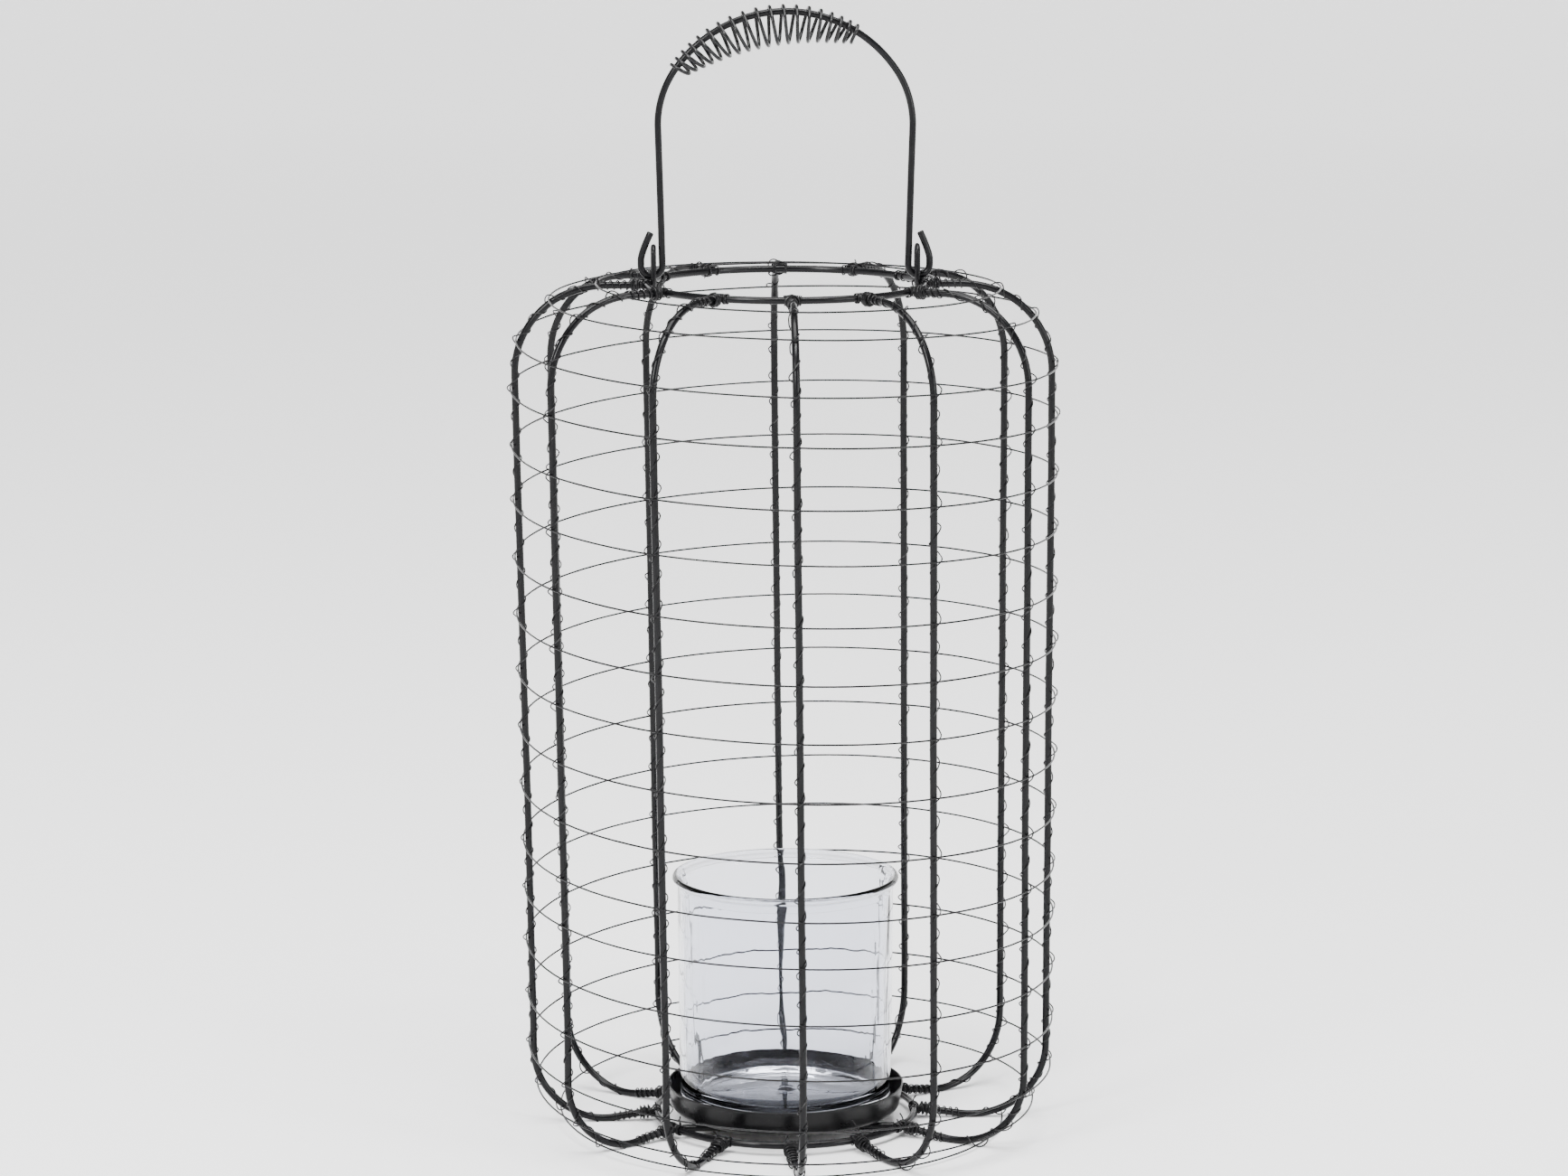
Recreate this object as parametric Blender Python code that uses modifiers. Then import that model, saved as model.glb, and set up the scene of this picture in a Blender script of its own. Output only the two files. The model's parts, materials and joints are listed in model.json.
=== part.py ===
# Candle lantern: a round cage of wire ribs with one long wire wound round it in a spiral,
# a pressed dish and a glass cup for the candle at the bottom, and a bail handle with a
# coiled grip hooked through two eyelets on the top ring.
import math

import bpy
from mathutils import Matrix, Vector

# Driving dimensions, in metres. +Z is up, and the origin is on the floor under the axis.
GAP = 0.0003                # clearance between pieces that touch

FRAME_WIRE = 0.0041         # diameter of the rings, the ribs and the dish bars
CAGE_HEIGHT = 0.4862        # floor to the top of the top ring
CAGE_RADIUS = 0.1485        # axis to the wire centre of an upright rib
SHOULDER_BEND = 0.050       # bend of a rib at the shoulder, at the wire centre
FOOT_BEND = 0.042           # bend of a rib at the foot, at the wire centre
RIB_COUNT = 12
BOTTOM_RING_RADIUS = 0.0744
BOTTOM_RING_RISE = 0.0039   # the bottom ring's centre above the ribs' lowest centre
BAR_OFFSET = 0.037          # each dish bar's distance from the axis

SPIRAL_WIRE = 0.0010        # diameter of the spiral wire
SPIRAL_INSET = 0.006        # start of the spiral beyond the top ring, along a rib
SPIRAL_END_ANGLE = 75.5     # degrees down the foot bend at the spiral's end
SPIRAL_LEAN = 0.006         # how far the turns sit lower at the front than at the sides
SPIRAL_EARLY_TURN = 0.75    # part of a turn before the first full one at the front
SPIRAL_LATE_TURN = 0.25     # part of a turn after the last full one at the front
# Hand-wound spacing of the turns from the top down, in parts of the ribs' length.
SPIRAL_SPACING = (30, 22, 33, 27, 34, 30, 34, 32, 32, 33, 33, 33, 26, 32, 31, 29, 24, 21, 6)

DISH_SHEET = 0.0010         # thickness of the dish's pressed sheet
DISH_DEPTH = 0.0146         # underside to rim
DISH_MARGIN = 0.0054        # floor of the dish outside the glass
DISH_FLARE = 0.0020         # how much wider the rim is than the floor
DISH_CORNER = 0.0035        # outer bend between the floor and the wall

GLASS_RADIUS = 0.0605       # outside of the cup at its base
GLASS_HEIGHT = 0.136
GLASS_WALL = 0.0036
GLASS_BASE = 0.0085         # thickness of the solid base
GLASS_FLARE = 0.0012        # how much wider the cup is at the top
GLASS_BEAD = 0.0019         # radius of the rolled rim
GLASS_BEAD_INSET = 0.00072  # how far the rim's outer side stands in from a full bead's
GLASS_BASE_BEND = 0.004     # outer rounding of the base
GLASS_FLOOR_BEND = 0.010    # inner rounding between the floor and the wall

BAIL_WIRE = 0.0039          # diameter of the handle's wire
BAIL_RISE = 0.1472          # hinge axis to the wire centre at the top of the arch
BAIL_SPREAD = 0.0022        # how much wider the arch is than the hooks' inner legs
BAIL_ARCH_EXTRA = 0.0038    # arch radius beyond the handle's half width
BAIL_ARCH_SWEEP = 55        # degrees of the wide arc on each side of the top
HOOK_BEND = 0.0060          # bend of the upturned hooks, at the wire centre
HOOK_RISE = 0.0010          # play between the hooks and the ring under them
HOOK_STRAND = 0.0200        # length of the hook beyond its bend
HOOK_LEAN = 0.0053          # how far the hook's tip leans inwards
GLASS_PASS = 0.0022         # room between the lifted glass and the handle's legs

EYELET_WIRE = 0.0030
EYELET_INSET = 0.0010       # the loop's plane inside the middle of the hook
EYELET_HALF_WIDTH = 0.0045  # wire centre to the middle of the loop
EYELET_DROP = 0.0013        # loop's lowest wire centre below the ring's centre
EYELET_HEIGHT = 0.0230      # lowest to highest wire centre

GRIP_WIRE = 0.0020
GRIP_LENGTH = 0.1135        # along the arch
GRIP_TURNS = 18.5
GRIP_MIDDLE = 0.0236        # outer diameter in the middle of the barrel
GRIP_END = 0.0120           # outer diameter at its ends
GRIP_END_PITCH = 0.53       # pitch at the ends as a share of the pitch in the middle
GRIP_HUG = 0.6              # how much less a turn advances where it rests on the bail

# Fineness of the faceted surfaces.
RING_STEPS = 48
TURNED_STEPS = 48
BEND_STEPS = 8
SPIRAL_STEPS = 24           # points in one turn
GRIP_STEPS = 12             # points in one turn
HEAVY_SIDES = 8
FINE_SIDES = 6
THIN_SIDES = 4

# Sizes and places that follow from the driving dimensions.
frame_r = FRAME_WIRE / 2
spiral_r = SPIRAL_WIRE / 2
bail_r = BAIL_WIRE / 2
eyelet_r = EYELET_WIRE / 2
grip_r = GRIP_WIRE / 2

top_ring_z = CAGE_HEIGHT - frame_r
foot_z = frame_r
bottom_ring_z = foot_z + BOTTOM_RING_RISE

dish_z = bottom_ring_z + frame_r + GAP
dish_floor_radius = GLASS_RADIUS + DISH_MARGIN
glass_z = dish_z + DISH_SHEET + GAP
glass_top_radius = GLASS_RADIUS + GLASS_FLARE + 2 * GLASS_BEAD - GLASS_BEAD_INSET

leg_x = glass_top_radius + GLASS_PASS + bail_r
hook_x = leg_x + HOOK_BEND
eyelet_x = hook_x - EYELET_INSET
eyelet_reach = math.hypot(eyelet_x + eyelet_r, EYELET_HALF_WIDTH + eyelet_r)
top_ring_radius = (eyelet_reach + GAP) / math.cos(math.pi / RING_STEPS) + frame_r

hinge_z = top_ring_z + frame_r + bail_r + HOOK_RISE
apex_z = hinge_z + BAIL_RISE
bail_half_width = leg_x + BAIL_SPREAD
arch_radius = bail_half_width + BAIL_ARCH_EXTRA
arch_z = apex_z - arch_radius


def clear_scene():
    for item in list(bpy.data.objects):
        bpy.data.objects.remove(item, do_unlink=True)


def make_material(name, colour, roughness, metallic=0.0, transmission=0.0):
    material = bpy.data.materials.new(name)
    material.use_nodes = True
    shader = material.node_tree.nodes["Principled BSDF"]
    shader.inputs["Base Color"].default_value = (*colour, 1.0)
    shader.inputs["Roughness"].default_value = roughness
    shader.inputs["Metallic"].default_value = metallic
    shader.inputs["Transmission Weight"].default_value = transmission
    return material


def add_object(name, data, material, parent=None):
    data.materials.append(material)
    piece = bpy.data.objects.new(name, data)
    lantern.objects.link(piece)
    if parent:
        keep_place(piece, parent)
    return piece


def keep_place(piece, parent):
    """Hang a piece on an empty without moving it."""
    piece.parent = parent
    piece.matrix_parent_inverse = Matrix.Translation(-parent.location)


def add_pivot(name, place):
    pivot = bpy.data.objects.new(name, None)
    pivot.location = place
    pivot.empty_display_size = 0.02
    lantern.objects.link(pivot)
    return pivot


def wire_curve(name, points, diameter, sides, closed=False):
    """A round wire along straight runs between points."""
    curve = bpy.data.curves.new(name, "CURVE")
    curve.dimensions = "3D"
    curve.bevel_depth = diameter / 2
    curve.bevel_resolution = (sides - 4) // 2
    curve.use_fill_caps = not closed
    spline = curve.splines.new("POLY")
    spline.points.add(len(points) - 1)
    for target, point in zip(spline.points, points):
        target.co = (*point, 1.0)
    spline.use_cyclic_u = closed
    spline.use_smooth = True
    return curve


def arc(centre, radius, start, end, steps):
    """Points on an arc in a plane, with angles in degrees."""
    points = []
    for step in range(steps + 1):
        angle = math.radians(start + (end - start) * step / steps)
        points.append((centre[0] + radius * math.cos(angle), centre[1] + radius * math.sin(angle)))
    return points


def add_ring(name, radius, height):
    bpy.ops.mesh.primitive_torus_add(
        major_radius=radius,
        minor_radius=frame_r,
        major_segments=RING_STEPS,
        minor_segments=HEAVY_SIDES,
        location=(0, 0, height),
    )
    ring = bpy.context.object
    ring.name = name
    ring.data.name = name
    ring.data.shade_smooth()
    ring.data.materials.append(black)
    for collection in list(ring.users_collection):
        collection.objects.unlink(ring)
    lantern.objects.link(ring)
    return ring


def rib_outline():
    """A rib's wire centre as (radius, height), from the top ring down to the bottom ring."""
    shoulder = (CAGE_RADIUS - SHOULDER_BEND, top_ring_z - SHOULDER_BEND)
    foot = (CAGE_RADIUS - FOOT_BEND, foot_z + FOOT_BEND)
    end = (BOTTOM_RING_RADIUS + frame_r + GAP, bottom_ring_z)
    # The rib leaves the foot bend on the line that touches the bend and meets the ring.
    to_end = (end[0] - foot[0], end[1] - foot[1])
    leave = math.atan2(to_end[1], to_end[0]) + math.acos(FOOT_BEND / math.hypot(*to_end))
    points = [(top_ring_radius + frame_r + GAP, top_ring_z)]
    points += arc(shoulder, SHOULDER_BEND, 90, 0, BEND_STEPS)
    points += arc(foot, FOOT_BEND, 0, -90, BEND_STEPS)
    points += [arc(foot, FOOT_BEND, math.degrees(leave), 0, 1)[0], end]
    return points


def add_ribs():
    """Ribs share one curve and are numbered round from the front."""
    points = [(radius, 0.0, height) for radius, height in rib_outline()]
    curve = wire_curve("rib", points, FRAME_WIRE, HEAVY_SIDES)
    curve.materials.append(black)
    for number in range(RIB_COUNT):
        rib = bpy.data.objects.new(f"rib_{number + 1:02d}", curve)
        rib.rotation_euler = (0, 0, math.radians(-90 + 360 * number / RIB_COUNT))
        lantern.objects.link(rib)


def spiral_place(length):
    """Radius and height of the spiral's wire centre at a length along the ribs' outside."""
    lift = frame_r + GAP + spiral_r
    flat = CAGE_RADIUS - SHOULDER_BEND - top_ring_radius
    shoulder = (SHOULDER_BEND + lift) * math.pi / 2
    side = top_ring_z - SHOULDER_BEND - foot_z - FOOT_BEND
    if length < flat:
        return top_ring_radius + length, top_ring_z + lift
    length -= flat
    if length < shoulder:
        angle = length / (SHOULDER_BEND + lift)
        return (
            CAGE_RADIUS - SHOULDER_BEND + (SHOULDER_BEND + lift) * math.sin(angle),
            top_ring_z - SHOULDER_BEND + (SHOULDER_BEND + lift) * math.cos(angle),
        )
    length -= shoulder
    if length < side:
        return CAGE_RADIUS + lift, top_ring_z - SHOULDER_BEND - length
    angle = (length - side) / (FOOT_BEND + lift)
    return (
        CAGE_RADIUS - FOOT_BEND + (FOOT_BEND + lift) * math.cos(angle),
        foot_z + FOOT_BEND - (FOOT_BEND + lift) * math.sin(angle),
    )


def spiral_length():
    """Length along the ribs' outside from the top ring to the spiral's lowest place."""
    lift = frame_r + GAP + spiral_r
    flat = CAGE_RADIUS - SHOULDER_BEND - top_ring_radius
    side = top_ring_z - SHOULDER_BEND - foot_z - FOOT_BEND
    bends = (SHOULDER_BEND + lift) * math.pi / 2 + (FOOT_BEND + lift) * math.radians(SPIRAL_END_ANGLE)
    return flat + bends + side


def add_spiral():
    """The spiral runs down anticlockwise, seen from above, outside all the ribs."""
    marks = [-SPIRAL_EARLY_TURN]
    marks += list(range(len(SPIRAL_SPACING) - 1))
    marks += [marks[-1] + SPIRAL_LATE_TURN]
    scale = (spiral_length() - SPIRAL_INSET - SPIRAL_LEAN) / sum(SPIRAL_SPACING)
    lengths = [SPIRAL_INSET]
    for space in SPIRAL_SPACING:
        lengths.append(lengths[-1] + space * scale)
    steps = round((marks[-1] - marks[0]) * SPIRAL_STEPS)
    points = []
    for step in range(steps + 1):
        turn = marks[0] + step / SPIRAL_STEPS
        index = max(i for i in range(len(marks) - 1) if marks[i] <= turn + 1e-9)
        part = (turn - marks[index]) / (marks[index + 1] - marks[index])
        length = lengths[index] + part * (lengths[index + 1] - lengths[index])
        lean = SPIRAL_LEAN * math.cos(2 * math.pi * turn)
        radius, height = spiral_place(max(length + lean, SPIRAL_INSET))
        azimuth = math.radians(-90) + 2 * math.pi * turn
        points.append((radius * math.cos(azimuth), radius * math.sin(azimuth), height))
    curve = wire_curve("spiral_wire", points, SPIRAL_WIRE, THIN_SIDES)
    return add_object("spiral_wire", curve, dark)


def add_dish_bar(name, side):
    """A straight bar between two places on the inside of the bottom ring."""
    room = (BOTTOM_RING_RADIUS - frame_r) * math.cos(math.pi / RING_STEPS) - GAP
    half = math.sqrt(room**2 - (BAR_OFFSET + frame_r) ** 2)
    points = [(-half, side * BAR_OFFSET, bottom_ring_z), (half, side * BAR_OFFSET, bottom_ring_z)]
    return add_object(name, wire_curve(name, points, FRAME_WIRE, HEAVY_SIDES), black)


def turned_piece(name, outline, material, parent=None):
    """A solid turned about the vertical axis from an outline of (radius, height)."""
    mesh = bpy.data.meshes.new(name)
    edges = [(index, index + 1) for index in range(len(outline) - 1)]
    mesh.from_pydata([(radius, 0.0, height) for radius, height in outline], edges, [])
    piece = add_object(name, mesh, material, parent)
    screw = piece.modifiers.new("turn", "SCREW")
    screw.axis = "Z"
    screw.angle = 2 * math.pi
    screw.steps = TURNED_STEPS
    screw.render_steps = TURNED_STEPS
    screw.use_merge_vertices = True
    screw.merge_threshold = 0.00001
    screw.use_smooth_shade = True
    return piece


def add_dish():
    inner_corner = DISH_CORNER - DISH_SHEET
    bend = (dish_floor_radius - DISH_CORNER, dish_z + DISH_CORNER)
    rim_z = dish_z + DISH_DEPTH
    outline = [(0.0, dish_z + DISH_SHEET)]
    outline += arc(bend, inner_corner, -90, 0, 3)
    outline += [
        (dish_floor_radius + DISH_FLARE - DISH_SHEET, rim_z - DISH_SHEET / 2),
        (dish_floor_radius + DISH_FLARE - DISH_SHEET / 2, rim_z),
        (dish_floor_radius + DISH_FLARE, rim_z - DISH_SHEET / 2),
    ]
    outline += arc(bend, DISH_CORNER, 0, -90, 3)
    outline += [(0.0, dish_z)]
    return turned_piece("candle_dish", outline, black)


def add_glass():
    """The cup stands loose on the dish's floor and has a thick base and a rolled rim."""
    bead = (GLASS_RADIUS + GLASS_FLARE + GLASS_BEAD - GLASS_BEAD_INSET, glass_z + GLASS_HEIGHT - GLASS_BEAD)
    top_outside = GLASS_RADIUS + GLASS_FLARE
    floor_bend = (
        GLASS_RADIUS - GLASS_WALL - GLASS_FLOOR_BEND,
        glass_z + GLASS_BASE + GLASS_FLOOR_BEND,
    )
    base_bend = (GLASS_RADIUS - GLASS_BASE_BEND, glass_z + GLASS_BASE_BEND)
    neck_z = bead[1] - 2 * GLASS_BEAD
    outline = [(0.0, glass_z + GLASS_BASE)]
    outline += arc(floor_bend, GLASS_FLOOR_BEND, -90, 0, 4)
    outline += [(top_outside - GLASS_WALL, neck_z)]
    outline += arc(bead, GLASS_BEAD, 180, -45, 6)
    outline += [(top_outside, neck_z)]
    outline += arc(base_bend, GLASS_BASE_BEND, 0, -90, 3)
    outline += [(0.0, glass_z)]
    pivot = add_pivot("glass_lift_axis", (0, 0, glass_z))
    return turned_piece("glass_cup", outline, glass, pivot)


def add_eyelet(name, side):
    """A long loop of wire that stands against the inside of the top ring."""
    low = top_ring_z - EYELET_DROP + EYELET_HALF_WIDTH
    high = top_ring_z - EYELET_DROP + EYELET_HEIGHT - EYELET_HALF_WIDTH
    loop = arc((0.0, high), EYELET_HALF_WIDTH, 0, 180, BEND_STEPS)
    loop += arc((0.0, low), EYELET_HALF_WIDTH, 180, 360, BEND_STEPS)
    points = [(side * eyelet_x, across, height) for across, height in loop]
    return add_object(name, wire_curve(name, points, EYELET_WIRE, FINE_SIDES, closed=True), black)


def bail_half():
    """One half of the handle's wire centre as (x, z), from the top of the arch to a hook's tip."""
    sweep = math.radians(BAIL_ARCH_SWEEP)
    shoulder_bend = (bail_half_width - arch_radius * math.sin(sweep)) / (1 - math.sin(sweep))
    shoulder = (
        bail_half_width - shoulder_bend,
        arch_z + (arch_radius - shoulder_bend) * math.cos(sweep),
    )
    hook = (hook_x, hinge_z + HOOK_BEND)
    points = arc((0.0, arch_z), arch_radius, 90, 90 - BAIL_ARCH_SWEEP, 11)
    points += arc(shoulder, shoulder_bend, 90 - BAIL_ARCH_SWEEP, 0, 6)[1:]
    points += arc(hook, HOOK_BEND, 180, 360, BEND_STEPS)
    points += [
        (hook_x + HOOK_BEND, hook[1] + HOOK_STRAND / 4),
        (hook_x + HOOK_BEND - HOOK_LEAN / 3, hook[1] + HOOK_STRAND * 5 / 8),
        (hook_x + HOOK_BEND - HOOK_LEAN, hook[1] + HOOK_STRAND),
    ]
    return points


def add_bail(pivot):
    """The handle swings on the low bends of its hooks, which hang in the eyelets."""
    half = bail_half()
    outline = [(-x, z) for x, z in reversed(half[1:])] + half
    points = [(x, 0.0, z) for x, z in outline]
    return add_object("bail_handle", wire_curve("bail_handle", points, BAIL_WIRE, HEAVY_SIDES), black, pivot)


def add_grip(pivot):
    """A barrel-shaped coil that hangs on the arch and lies at its left end."""
    sweep = GRIP_LENGTH / arch_radius
    start = -math.radians(BAIL_ARCH_SWEEP) + grip_r / arch_radius
    evened = GRIP_END_PITCH + (1 - GRIP_END_PITCH) * 2 / math.pi
    steps = round(GRIP_TURNS * GRIP_STEPS)
    points = []
    for step in range(steps + 1):
        part = step / steps
        swell = math.sin(math.pi * part)
        turn = 2 * math.pi * GRIP_TURNS * part
        # A turn is square to the bail where it rests on it, and makes most of its way underneath.
        reach = part - GRIP_HUG * math.sin(turn) / (2 * math.pi * GRIP_TURNS)
        along = GRIP_END_PITCH * reach + (1 - GRIP_END_PITCH) * (1 - math.cos(math.pi * reach)) / math.pi
        angle = start + sweep * along / evened
        coil_r = (GRIP_END + (GRIP_MIDDLE - GRIP_END) * swell) / 2 - grip_r
        # The coil hangs with the inside of its turns just over the top of the bail's wire.
        inside = coil_r * math.cos(math.pi / GRIP_STEPS) - grip_r
        hang = inside - bail_r - GAP
        out = arch_radius - hang + coil_r * math.cos(turn)
        across = -coil_r * math.sin(turn)
        points.append((out * math.sin(angle), across, arch_z + out * math.cos(angle)))
    return add_object("grip_coil", wire_curve("grip_coil", points, GRIP_WIRE, FINE_SIDES), black, pivot)


clear_scene()
lantern = bpy.data.collections.new("candle_lantern")
bpy.context.scene.collection.children.link(lantern)

black = make_material("black_lacquered_wire", (0.013, 0.013, 0.015), 0.34, metallic=0.25)
dark = make_material("dark_binding_wire", (0.018, 0.018, 0.019), 0.42, metallic=0.6)
glass = make_material("clear_glass", (0.86, 0.87, 0.91), 0.03, transmission=1.0)

add_ring("top_ring", top_ring_radius, top_ring_z)
add_ring("bottom_ring", BOTTOM_RING_RADIUS, bottom_ring_z)
add_ribs()
add_spiral()
add_dish_bar("dish_support_bar_front", -1)
add_dish_bar("dish_support_bar_rear", 1)
add_dish()
add_glass()
add_eyelet("eyelet_left", -1)
add_eyelet("eyelet_right", 1)

handle_pivot = add_pivot("handle_swing_axis", Vector((0, 0, hinge_z)))
add_bail(handle_pivot)
grip_pivot = add_pivot("grip_slide_axis", Vector((0, 0, arch_z)))
keep_place(grip_pivot, handle_pivot)
add_grip(grip_pivot)
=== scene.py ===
import json
import math
import random

import bmesh
import bpy
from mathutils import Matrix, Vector, noise


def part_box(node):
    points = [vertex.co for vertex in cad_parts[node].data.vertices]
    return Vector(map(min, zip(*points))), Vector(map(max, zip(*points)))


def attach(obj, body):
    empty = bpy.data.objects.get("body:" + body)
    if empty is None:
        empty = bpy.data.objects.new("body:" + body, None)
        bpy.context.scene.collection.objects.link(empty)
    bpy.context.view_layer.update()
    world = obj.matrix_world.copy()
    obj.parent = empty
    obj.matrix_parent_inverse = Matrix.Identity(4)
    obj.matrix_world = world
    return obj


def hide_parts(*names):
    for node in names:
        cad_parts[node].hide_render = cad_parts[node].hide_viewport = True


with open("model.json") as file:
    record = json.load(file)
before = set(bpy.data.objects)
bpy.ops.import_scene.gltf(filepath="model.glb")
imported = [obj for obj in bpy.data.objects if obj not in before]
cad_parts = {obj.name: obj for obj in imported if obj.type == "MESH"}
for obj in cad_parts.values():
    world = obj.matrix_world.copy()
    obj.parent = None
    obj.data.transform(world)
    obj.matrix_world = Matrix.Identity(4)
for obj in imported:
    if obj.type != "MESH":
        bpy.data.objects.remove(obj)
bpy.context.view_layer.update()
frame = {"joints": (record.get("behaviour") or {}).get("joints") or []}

fullTurn = 2 * math.pi
print("loaded the lantern's frame")


def feed(tree, socket, value):
    # a socket takes a link or a plain value
    if isinstance(value, bpy.types.NodeSocket):
        tree.links.new(value, socket)
    else:
        socket.default_value = value


def addNode(tree, kind, inputs=None, **settings):
    node = tree.nodes.new(kind)
    for key, value in settings.items():
        setattr(node, key, value)
    for key, value in (inputs or {}).items():
        feed(tree, node.inputs[key], value)
    return node


def mathNode(tree, work, *values):
    return addNode(tree, "ShaderNodeMath", dict(enumerate(values)), operation=work).outputs[0]


def noiseNode(tree, vector, scale, detail=3.0, roughness=0.5):
    inputs = {"Vector": vector, "Scale": scale, "Detail": detail, "Roughness": roughness}
    return addNode(tree, "ShaderNodeTexNoise", inputs).outputs["Fac"]


def rangeNode(tree, value, fromLow, fromHigh, toLow, toHigh):
    limits = enumerate((value, fromLow, fromHigh, toLow, toHigh))
    return addNode(tree, "ShaderNodeMapRange", dict(limits)).outputs[0]


def mixColours(tree, share, first, second):
    node = addNode(tree, "ShaderNodeMix", {0: share}, data_type="RGBA")
    for socket, value in zip([s for s in node.inputs if s.type == "RGBA"], (first, second)):
        feed(tree, socket, (*value, 1) if isinstance(value, tuple) else value)
    return [s for s in node.outputs if s.type == "RGBA"][0]


def bumpNode(tree, height, strength, distance, before=None):
    inputs = {"Strength": strength, "Distance": distance, "Height": height}
    if before:
        inputs["Normal"] = before
    return addNode(tree, "ShaderNodeBump", inputs).outputs["Normal"]


def startMaterial(name):
    material = bpy.data.materials.new(name)
    material.use_nodes = True
    tree = material.node_tree
    place = addNode(tree, "ShaderNodeTexCoord").outputs["Object"]
    return material, tree, tree.nodes["Principled BSDF"].inputs, place


def arc(centre, radius, start, end, steps):
    # points on an arc in a plane, angles in degrees
    turns = [math.radians(start + (end - start) * step / steps) for step in range(steps + 1)]
    return [(centre[0] + radius * math.cos(a), centre[1] + radius * math.sin(a)) for a in turns]


def turned(name, outline, steps, finish, wobble=None):
    # a surface turned about the vertical axis; 'wobble' moves each point in or out and up or down
    shape = bmesh.new()
    rings = []
    for radius, height in outline:
        if radius == 0.0:
            rings.append([shape.verts.new((0, 0, height))])
            continue
        ring = []
        for step in range(steps):
            angle = fullTurn * step / steps
            spot = Vector((radius * math.cos(angle), radius * math.sin(angle), height))
            ring.append(shape.verts.new(spot + wobble(spot, radius) if wobble else spot))
        rings.append(ring)
    for first, second in zip(rings, rings[1:]):
        for step in range(steps):
            after = (step + 1) % steps
            if len(first) == 1:
                shape.faces.new((first[0], second[step], second[after]))
            elif len(second) == 1:
                shape.faces.new((first[step], second[0], first[after]))
            else:
                shape.faces.new((first[step], second[step], second[after], first[after]))
    bmesh.ops.recalc_face_normals(shape, faces=shape.faces)
    mesh = bpy.data.meshes.new(name)
    shape.to_mesh(mesh)
    shape.free()
    mesh.shade_smooth()
    mesh.set_sharp_from_angle(angle=math.radians(60))
    mesh.materials.append(finish)
    piece = bpy.data.objects.new(name, mesh)
    bpy.context.scene.collection.objects.link(piece)
    return piece


cameraPlace = {
    "lens": 114.0,
    "distance": 2.770,
    "height": 0.8032,
    "turn": 2.5,        # degrees that the lantern stands turned from the camera
    "tilt": 10.07,      # degrees below the horizon
    "shift": -0.0009,
}


def makeCamera():
    p = cameraPlace
    turn = math.radians(p["turn"])
    data = bpy.data.cameras.new("viewCamera")
    data.lens = p["lens"]
    data.sensor_width = 36.0
    data.shift_x = p["shift"]
    camera = bpy.data.objects.new("viewCamera", data)
    camera.location = (-p["distance"] * math.sin(turn), -p["distance"] * math.cos(turn), p["height"])
    camera.rotation_euler = (math.radians(90 - p["tilt"]), 0, -turn)
    bpy.context.scene.collection.objects.link(camera)
    bpy.context.scene.camera = camera


studio = {
    "flat": 7.0,            # radius of the level paper round the lantern
    "bend": 2.0,            # the paper curves up into a low wall all round, clear of every view's camera
    "top": 3.2,
    "bendSteps": 16,
    "turnSteps": 96,
    "paper": (0.92, 0.92, 0.925),
    "glow": 1.05,           # the far paper glows where the lamps no longer reach it
    "glowHeight": 3.6,
    "skyStrength": 0.28,    # what lights the lantern
    "paleStrength": 0.80,   # what shows behind it, straight or through the glass
    "lamps": {              # where each lamp stands, what it faces, its size and its power
        "keyLamp": {"place": (-1.7, -2.2, 2.1), "aim": (0, 0, 0.30), "size": (0.7, 1.2), "power": 120},
        "fillLamp": {"place": (2.1, -1.7, 1.2), "aim": (0, 0, 0.28), "size": (0.5, 1.5), "power": 45},
        "topLamp": {"place": (0.0, -0.3, 3.6), "aim": (0, 0.2, 0), "size": (3.4, 3.0), "power": 300},
        "stripLamp": {"place": (0.2, -0.9, 2.6), "aim": (0, 0, 0.40), "size": (1.5, 0.08), "power": 34},
    },
}


def makePaper():
    # its glow makes up for the lamps' light, which falls off with the fourth power of a cosine
    p = studio
    paper, tree, shader, place = startMaterial("studioPaper")
    shader["Base Color"].default_value = (*p["paper"], 1)
    shader["Roughness"].default_value = 0.9
    away = addNode(tree, "ShaderNodeVectorMath", {0: place}, operation="LENGTH").outputs["Value"]
    height = p["glowHeight"] ** 2
    distance = mathNode(tree, "ADD", mathNode(tree, "MULTIPLY", away, away), height)
    cosineSquared = mathNode(tree, "DIVIDE", height, distance)
    lost = mathNode(tree, "SUBTRACT", 1.0, mathNode(tree, "MULTIPLY", cosineSquared, cosineSquared))
    shader["Emission Color"].default_value = (1, 1, 1, 1)
    feed(tree, shader["Emission Strength"], mathNode(tree, "MULTIPLY", lost, p["glow"]))
    return paper


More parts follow.
